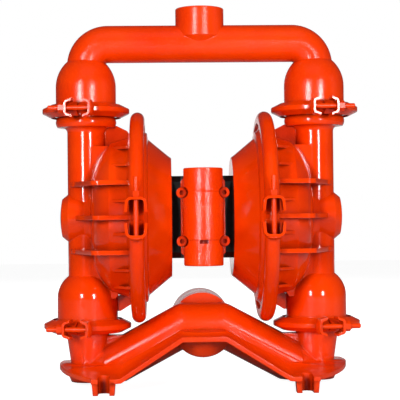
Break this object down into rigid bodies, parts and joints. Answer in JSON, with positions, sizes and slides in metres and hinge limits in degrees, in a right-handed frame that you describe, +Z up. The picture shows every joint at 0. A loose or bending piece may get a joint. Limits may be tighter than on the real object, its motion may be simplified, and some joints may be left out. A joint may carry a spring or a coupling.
{
  "type": "air operated double diaphragm pump",
  "caption": "Clamped metal double diaphragm pump with a bridge shaped discharge manifold, a bent foot manifold and a shuttle air valve at the front.",
  "frame": {"origin": "on the floor, midway between the four slotted feet", "axes": "+Z up along the discharge port, +Y to the rear along the inlet port, +X along the diaphragm shaft to the right"},
  "size_m": [0.3832, 0.2918, 0.4542],
  "materials": {
    "painted_rough": "glossy paint over a rough sand casting",
    "painted_smooth": "glossy paint over a smooth casting",
    "painted_clamps": "glossy paint over pressed strip",
    "painted_fasteners": "glossy paint",
    "black_paint": "satin black",
    "rubber_black": "matt",
    "diaphragm_rubber": "matt",
    "seat_metal": "turned",
    "bright_steel": "ground",
    "zinc_steel": "zinc plated",
    "bronze": "turned bronze"
  },
  "bodies": {
    "pump_housing": {"air_chamber_left": "painted_smooth", "air_chamber_right": "painted_smooth", "air_valve_body": "painted_rough", "air_valve_cap_lower": "painted_rough", "air_valve_cap_upper": "painted_rough", "air_valve_gasket": "rubber_black", "air_valve_screws": "painted_fasteners", "center_block": "black_paint", "center_gasket_left": "rubber_black", "center_gasket_right": "rubber_black", "center_screws_left": "zinc_steel", "center_screws_right": "zinc_steel", "diaphragm_left": "diaphragm_rubber", "diaphragm_right": "diaphragm_rubber", "discharge_clamp_inner_left": "painted_clamps", "discharge_clamp_inner_right": "painted_clamps", "discharge_clamp_outer_left": "painted_clamps", "discharge_clamp_outer_right": "painted_clamps", "discharge_manifold": "painted_rough", "discharge_o_ring_left": "rubber_black", "discharge_o_ring_right": "rubber_black", "discharge_seat_left": "seat_metal", "discharge_seat_right": "seat_metal", "inlet_clamp_inner_left": "painted_clamps", "inlet_clamp_inner_right": "painted_clamps", "inlet_clamp_outer_left": "painted_clamps", "inlet_clamp_outer_right": "painted_clamps", "inlet_manifold": "painted_rough", "inlet_o_ring_left": "rubber_black", "inlet_o_ring_right": "rubber_black", "inlet_seat_left": "seat_metal", "inlet_seat_right": "seat_metal", "large_clamp_bolts_left": "painted_fasteners", "large_clamp_bolts_right": "painted_fasteners", "large_clamp_lower_left": "painted_clamps", "large_clamp_lower_right": "painted_clamps", "large_clamp_nuts_left": "painted_fasteners", "large_clamp_nuts_right": "painted_fasteners", "large_clamp_upper_left": "painted_clamps", "large_clamp_upper_right": "painted_clamps", "liquid_chamber_left": "painted_smooth", "liquid_chamber_right": "painted_smooth", "pilot_sleeve": "bright_steel", "shaft_bushing_left": "bronze", "shaft_bushing_right": "bronze", "shaft_seal_left": "rubber_black", "shaft_seal_right": "rubber_black", "small_clamp_bolts": "painted_fasteners", "small_clamp_nuts": "painted_fasteners"},
    "shaft_assembly": {"main_shaft": "bright_steel", "inner_piston_left": "zinc_steel", "inner_piston_right": "zinc_steel", "outer_piston_left": "zinc_steel", "outer_piston_right": "zinc_steel"},
    "pilot_valve": {"pilot_spool": "bright_steel"},
    "main_spool": {"air_valve_spool": "bright_steel"},
    "discharge_ball_left_body": {"discharge_ball_left": "rubber_black"},
    "discharge_ball_right_body": {"discharge_ball_right": "rubber_black"},
    "inlet_ball_left_body": {"inlet_ball_left": "rubber_black"},
    "inlet_ball_right_body": {"inlet_ball_right": "rubber_black"}
  },
  "joints": [
    {"name": "shaft_slide", "type": "slide", "parent": "pump_housing", "child": "shaft_assembly", "axis": [1, 0, 0], "range_m": [-0.018, 0.018], "deforming": ["diaphragm_left", "diaphragm_right"]},
    {"name": "pilot_slide", "type": "slide", "parent": "pump_housing", "child": "pilot_valve", "axis": [1, 0, 0], "range_m": [-0.005, 0.005]},
    {"name": "main_spool_slide", "type": "slide", "parent": "pump_housing", "child": "main_spool", "axis": [0, 0, 1], "range_m": [0, 0.012]},
    {"name": "discharge_ball_left_lift", "type": "slide", "parent": "pump_housing", "child": "discharge_ball_left_body", "axis": [0, 0, 1], "range_m": [0, 0.01]},
    {"name": "discharge_ball_right_lift", "type": "slide", "parent": "pump_housing", "child": "discharge_ball_right_body", "axis": [0, 0, 1], "range_m": [0, 0.01]},
    {"name": "inlet_ball_left_lift", "type": "slide", "parent": "pump_housing", "child": "inlet_ball_left_body", "axis": [0, 0, 1], "range_m": [0, 0.01]},
    {"name": "inlet_ball_right_lift", "type": "slide", "parent": "pump_housing", "child": "inlet_ball_right_body", "axis": [0, 0, 1], "range_m": [0, 0.01]}
  ],
  "couplings": [
    {"joint": "pilot_slide", "follows": "shaft_slide", "ratio": 0.27778}
  ]
}
